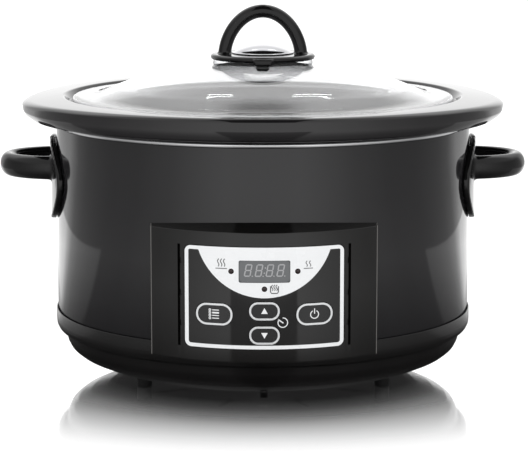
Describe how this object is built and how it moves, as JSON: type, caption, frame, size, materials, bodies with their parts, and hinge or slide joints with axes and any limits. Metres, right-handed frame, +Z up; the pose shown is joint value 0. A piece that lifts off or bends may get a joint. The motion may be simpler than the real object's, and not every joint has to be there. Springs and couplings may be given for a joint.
{
  "type": "digital slow cooker",
  "caption": "Round slow cooker with a lift-out stoneware crock, domed glass lid with arch handle, side grips and a curved push-button panel.",
  "frame": {"origin": "on the floor under the centre of the base", "axes": "+X to the right as seen from the front, along the line through both side handles; -Y towards the control panel; +Z up"},
  "size_m": [0.37, 0.313, 0.2605],
  "materials": {
    "shell_enamel": "smooth glossy charcoal-black coated steel",
    "bright_trim": "polished rolled metal ring",
    "well_metal": "plain pressed sheet",
    "fastener_steel": "zinc-plated steel",
    "base_plastic": "black moulded heat-resistant plastic with a soft gloss",
    "fascia_plastic": "dark charcoal moulded plastic with a soft gloss",
    "handle_plastic": "black glossy phenolic",
    "foot_rubber": "matt black rubber",
    "panel_print": "satin silver-white and charcoal printed film",
    "window_plastic": "smoked clear plastic",
    "key_plastic": "charcoal keys with a satin silver rim",
    "lamp_plastic": "small dark red lamp lenses",
    "board": "green circuit board",
    "component_plastic": "moulded component cases",
    "heater_sheet": "woven insulating sleeve round the heating element",
    "wire_sleeve": "pale insulated wire",
    "crock_glaze": "thick glossy black glaze",
    "lid_glass": "clear tempered glass with a polished rounded edge",
    "lid_seal": "translucent silicone"
  },
  "bodies": {
    "housing": {"band_spring": "fastener_steel", "base_housing": "base_plastic", "board_screw_1": "fastener_steel", "board_screw_2": "fastener_steel", "capacitor": "component_plastic", "control_board": "board", "control_fascia": "fascia_plastic", "cord_gland": "base_plastic", "display_module": "component_plastic", "display_window": "window_plastic", "fascia_screw_1": "fastener_steel", "fascia_screw_2": "fastener_steel", "fascia_screw_3": "fastener_steel", "fascia_screw_4": "fastener_steel", "foot_front_left": "foot_rubber", "foot_front_right": "foot_rubber", "foot_rear": "foot_rubber", "handle_left": "handle_plastic", "handle_right": "handle_plastic", "handle_screw_1": "fastener_steel", "handle_screw_2": "fastener_steel", "handle_screw_3": "fastener_steel", "handle_screw_4": "fastener_steel", "heater_band": "heater_sheet", "heater_lead_1": "wire_sleeve", "heater_lead_2": "wire_sleeve", "heating_well": "well_metal", "lamp_high": "lamp_plastic", "lamp_low": "lamp_plastic", "lamp_warm": "lamp_plastic", "outer_shell": "shell_enamel", "panel_overlay": "panel_print", "power_board": "board", "relay": "component_plastic", "ribbon_cable": "wire_sleeve", "sensor_spring": "fastener_steel", "switch_down": "component_plastic", "switch_mode": "component_plastic", "switch_power": "component_plastic", "switch_up": "component_plastic", "temperature_sensor": "fastener_steel", "terminal_block": "component_plastic", "thermal_fuse": "component_plastic", "tie_bolt": "fastener_steel", "tie_nut": "fastener_steel", "transformer": "component_plastic", "trim_ring": "bright_trim", "well_bracket": "fastener_steel"},
    "crock": {"crock": "crock_glaze"},
    "lid": {"lid_glass": "lid_glass", "lid_gasket": "lid_seal", "lid_handle": "handle_plastic", "lid_escutcheon": "bright_trim", "lid_washer": "fastener_steel", "lid_screw": "fastener_steel"},
    "button_mode": {"button_mode": "key_plastic"},
    "button_up": {"button_up": "key_plastic"},
    "button_down": {"button_down": "key_plastic"},
    "button_power": {"button_power": "key_plastic"}
  },
  "joints": [
    {"name": "crock_lift", "type": "slide", "parent": "housing", "child": "crock", "axis": [0, 0, 1], "range_m": [0, 0.16]},
    {"name": "lid_lift", "type": "slide", "parent": "crock", "child": "lid", "axis": [0, 0, 1], "range_m": [0, 0.1]},
    {"name": "press_mode", "type": "slide", "parent": "housing", "child": "button_mode", "axis": [0, 1, 0], "range_m": [0, 0.0006], "stiffness_N_per_m": 1500},
    {"name": "press_up", "type": "slide", "parent": "housing", "child": "button_up", "axis": [0, 1, 0], "range_m": [0, 0.0006], "stiffness_N_per_m": 1500},
    {"name": "press_down", "type": "slide", "parent": "housing", "child": "button_down", "axis": [0, 1, 0], "range_m": [0, 0.0006], "stiffness_N_per_m": 1500},
    {"name": "press_power", "type": "slide", "parent": "housing", "child": "button_power", "axis": [0, 1, 0], "range_m": [0, 0.0006], "stiffness_N_per_m": 1500}
  ]
}
